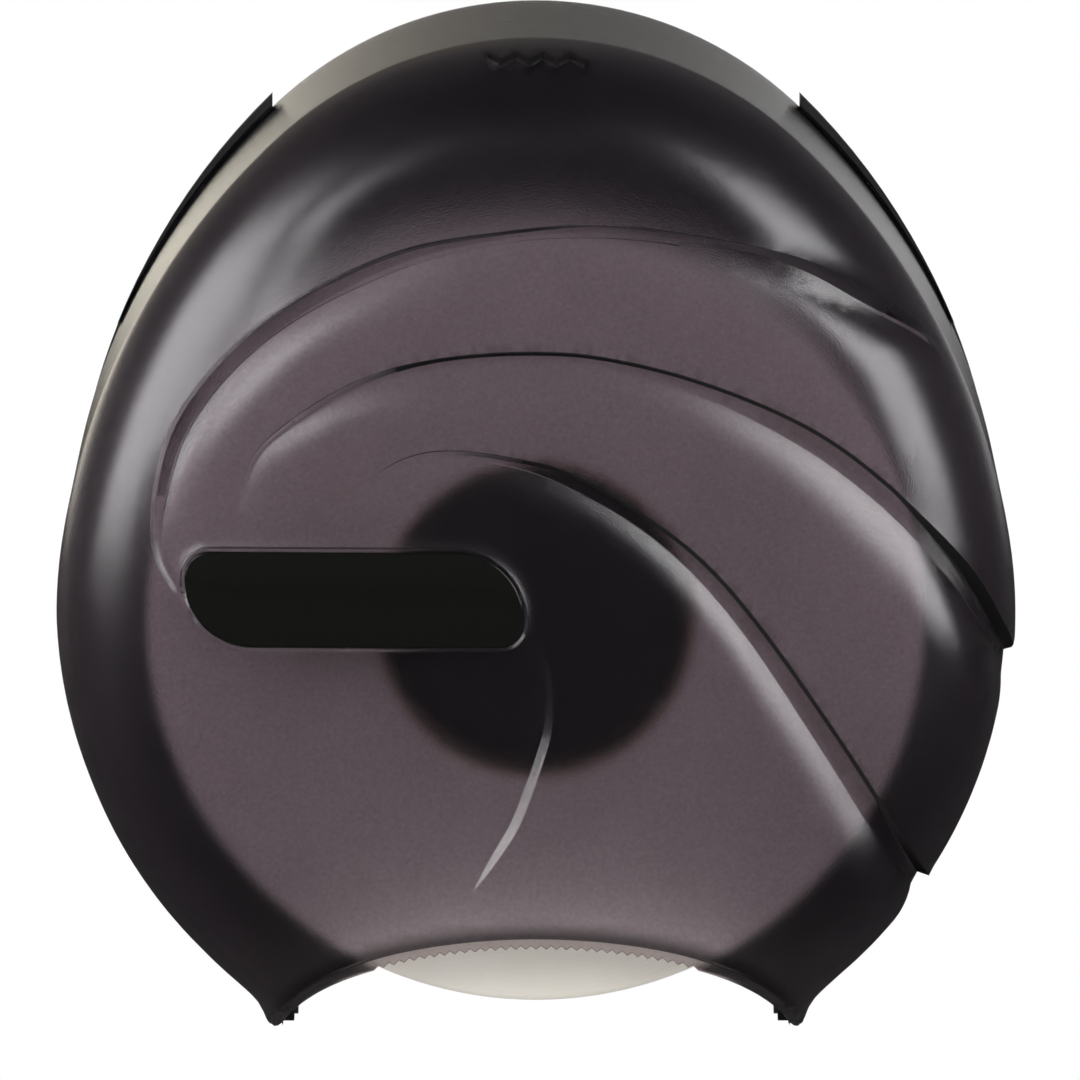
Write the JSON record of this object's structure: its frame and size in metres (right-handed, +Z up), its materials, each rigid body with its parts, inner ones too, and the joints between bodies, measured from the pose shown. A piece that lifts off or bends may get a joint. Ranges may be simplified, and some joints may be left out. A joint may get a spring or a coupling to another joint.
{
  "type": "bath tissue dispenser",
  "caption": "Wall-mounted jumbo bath tissue dispenser: egg-shaped smoked cover with wave relief and toothed tear lip, hinged on a black back plate round a free-turning roll.",
  "frame": {"origin": "centre of the wall screw pattern, where the roll's spindle axis meets the wall face", "axes": "+X to the right seen from the front, +Y into the wall, +Z up; the cover faces -Y"},
  "size_m": [0.265, 0.143, 0.291],
  "materials": {
    "smoked_cover": "satin",
    "badge_gloss": "gloss",
    "black_plastic": "satin",
    "steel": "satin",
    "dark_steel": "satin",
    "white_bearing": "satin",
    "tissue": "matte",
    "core_board": "matte"
  },
  "bodies": {
    "base": {"back_plate": "black_plastic", "spindle_shaft": "steel", "spindle_washer": "steel", "spindle_screw": "dark_steel", "thrust_washer_rear": "white_bearing", "thrust_washer_front": "white_bearing", "retaining_ring": "dark_steel", "hinge_pin_left": "steel", "hinge_pin_right": "steel", "latch_pivot_pin": "steel", "latch_spring": "dark_steel"},
    "cover": {"cover_shell": "smoked_cover", "badge": "badge_gloss"},
    "roll": {"tissue_roll": "tissue", "roll_core": "core_board", "core_hub": "black_plastic", "hub_bush_rear": "white_bearing", "hub_bush_front": "white_bearing", "hub_cap": "black_plastic"},
    "latch": {"latch_lever": "black_plastic"}
  },
  "joints": [
    {"name": "cover_hinge", "type": "hinge", "parent": "base", "child": "cover", "pos_m": [0, -0.014, -0.12398], "axis": [1, 0, 0], "range_deg": [0, 90]},
    {"name": "roll_spin", "type": "hinge", "parent": "base", "child": "roll", "pos_m": [0, 0, 0], "axis": [0, -1, 0], "continuous": true},
    {"name": "latch_swing", "type": "hinge", "parent": "base", "child": "latch", "pos_m": [0, -0.02, 0.138], "axis": [-1, 0, 0], "range_deg": [0, 6.5], "stiffness_Nm_per_rad": 0.15, "springref_deg": 17.19, "deforming": ["latch_spring"]}
  ]
}
